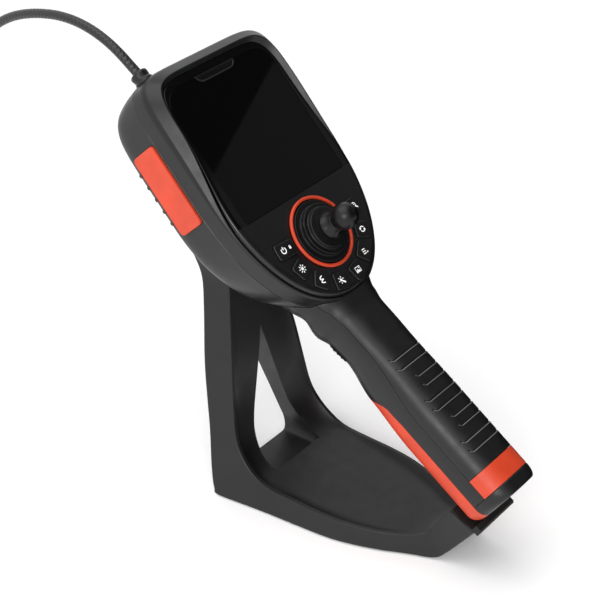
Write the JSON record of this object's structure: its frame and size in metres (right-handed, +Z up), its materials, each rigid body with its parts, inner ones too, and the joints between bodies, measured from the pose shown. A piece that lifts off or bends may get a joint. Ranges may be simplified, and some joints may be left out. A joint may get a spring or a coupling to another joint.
{
  "type": "inspection camera",
  "caption": "Handheld inspection videoscope: tilted screen, joystick and keypad on a ribbed pistol-like handle, flexible insertion tube with camera tip, resting on a one-piece desk stand.",
  "frame": {"origin": "on the floor under the middle of the object's bounding box without its insertion tube", "axes": "+Z up, -Y towards the butt of the handle and the toe of the stand, +X to the right for a person who faces the screen"},
  "size_m": [0.2135, 0.5982, 0.3575],
  "materials": {
    "shell": "fine matte grain",
    "stand": "matte moulded",
    "panel": "satin black",
    "glass": "glossy black display glass",
    "rubber": "soft matte rubber",
    "orange": "satin orange-red",
    "board": "solder-resist green",
    "steel": "plain steel",
    "tube": "tight black braid",
    "cell": "shrink wrap",
    "lens": "coated glass"
  },
  "bodies": {
    "stand": {"stand_frame": "stand", "stand_foot_1": "rubber", "stand_foot_2": "rubber", "stand_foot_3": "rubber", "stand_foot_4": "rubber", "toe_pad": "rubber", "cradle_pad": "rubber"},
    "handset": {"front_shell": "shell", "rear_shell": "shell", "handle_grip": "rubber", "handle_rear": "shell", "back_strip": "orange", "end_band": "orange", "end_cap": "shell", "face_panel": "panel", "screen_window": "glass", "name_tab": "panel", "display_module": "steel", "main_board": "board", "battery_pack": "cell", "steering_motor_1": "steel", "steering_motor_2": "steel", "light_block": "steel", "port_block": "shell", "hinge_knuckle_1": "rubber", "hinge_knuckle_2": "rubber", "hinge_knuckle_3": "rubber", "hinge_knuckle_4": "rubber", "hinge_knuckle_5": "rubber", "joystick_ring": "orange", "joystick_cup": "shell", "boot_lower": "rubber", "gland_nut": "shell", "finger_pad": "rubber", "housing_screw_1": "steel", "housing_screw_2": "steel", "housing_screw_3": "steel", "housing_screw_4": "steel", "insertion_tube": "tube", "insertion_tube_coil": "tube", "bending_neck": "rubber"},
    "gimbal": {"gimbal_ring": "steel", "boot_upper": "rubber"},
    "joystick": {"joystick_stem": "rubber", "joystick_knob": "rubber"},
    "port_cover": {"port_cover": "orange"},
    "probe_tip": {"camera_head": "steel", "camera_lens": "lens"},
    "key_zoom": {"key_zoom": "rubber"},
    "key_rotate": {"key_rotate": "rubber"},
    "key_menu": {"key_menu": "rubber"},
    "key_picture": {"key_picture": "rubber"},
    "key_lamp": {"key_lamp": "rubber"},
    "key_curve": {"key_curve": "rubber"},
    "key_brightness": {"key_brightness": "rubber"},
    "key_power": {"key_power": "rubber"}
  },
  "joints": [
    {"name": "handset_lift", "type": "slide", "parent": "stand", "child": "handset", "axis": [0, -0.5592, 0.829], "range_m": [0, 0.08]},
    {"name": "joystick_fore_aft", "type": "hinge", "parent": "handset", "child": "gimbal", "pos_m": [0.0009, 0.01886, 0.22439], "axis": [1, 0, 0], "range_deg": [-18, 18], "stiffness_Nm_per_rad": 0.25, "deforming": ["boot_lower", "boot_upper"]},
    {"name": "joystick_left_right", "type": "hinge", "parent": "gimbal", "child": "joystick", "pos_m": [0.0009, 0.01886, 0.22439], "axis": [0, 0.6947, 0.7193], "range_deg": [-18, 18], "stiffness_Nm_per_rad": 0.25},
    {"name": "port_cover_swing", "type": "hinge", "parent": "handset", "child": "port_cover", "pos_m": [-0.07, 0.11157, 0.24927], "axis": [0, -0.6947, -0.7193], "range_deg": [0, 110]},
    {"name": "tip_left_right", "type": "hinge", "parent": "handset", "child": "probe_tip", "pos_m": [-0.0441, 0.4328, 0.0035], "axis": [0, 0, 1], "range_deg": [-55, 55], "deforming": ["bending_neck"]},
    {"name": "press_zoom", "type": "slide", "parent": "handset", "child": "key_zoom", "axis": [0, 0.7193, -0.6947], "range_m": [0, 0.0008], "stiffness_N_per_m": 1200},
    {"name": "press_rotate", "type": "slide", "parent": "handset", "child": "key_rotate", "axis": [0, 0.7193, -0.6947], "range_m": [0, 0.0008], "stiffness_N_per_m": 1200},
    {"name": "press_menu", "type": "slide", "parent": "handset", "child": "key_menu", "axis": [0, 0.7193, -0.6947], "range_m": [0, 0.0008], "stiffness_N_per_m": 1200},
    {"name": "press_picture", "type": "slide", "parent": "handset", "child": "key_picture", "axis": [0, 0.7193, -0.6947], "range_m": [0, 0.0008], "stiffness_N_per_m": 1200},
    {"name": "press_lamp", "type": "slide", "parent": "handset", "child": "key_lamp", "axis": [0, 0.7193, -0.6947], "range_m": [0, 0.0008], "stiffness_N_per_m": 1200},
    {"name": "press_curve", "type": "slide", "parent": "handset", "child": "key_curve", "axis": [0, 0.7193, -0.6947], "range_m": [0, 0.0008], "stiffness_N_per_m": 1200},
    {"name": "press_brightness", "type": "slide", "parent": "handset", "child": "key_brightness", "axis": [0, 0.7193, -0.6947], "range_m": [0, 0.0008], "stiffness_N_per_m": 1200},
    {"name": "press_power", "type": "slide", "parent": "handset", "child": "key_power", "axis": [0, 0.7193, -0.6947], "range_m": [0, 0.0008], "stiffness_N_per_m": 1200}
  ],
  "couplings": [
    {"joint": "tip_left_right", "follows": "joystick_left_right", "ratio": 3}
  ]
}
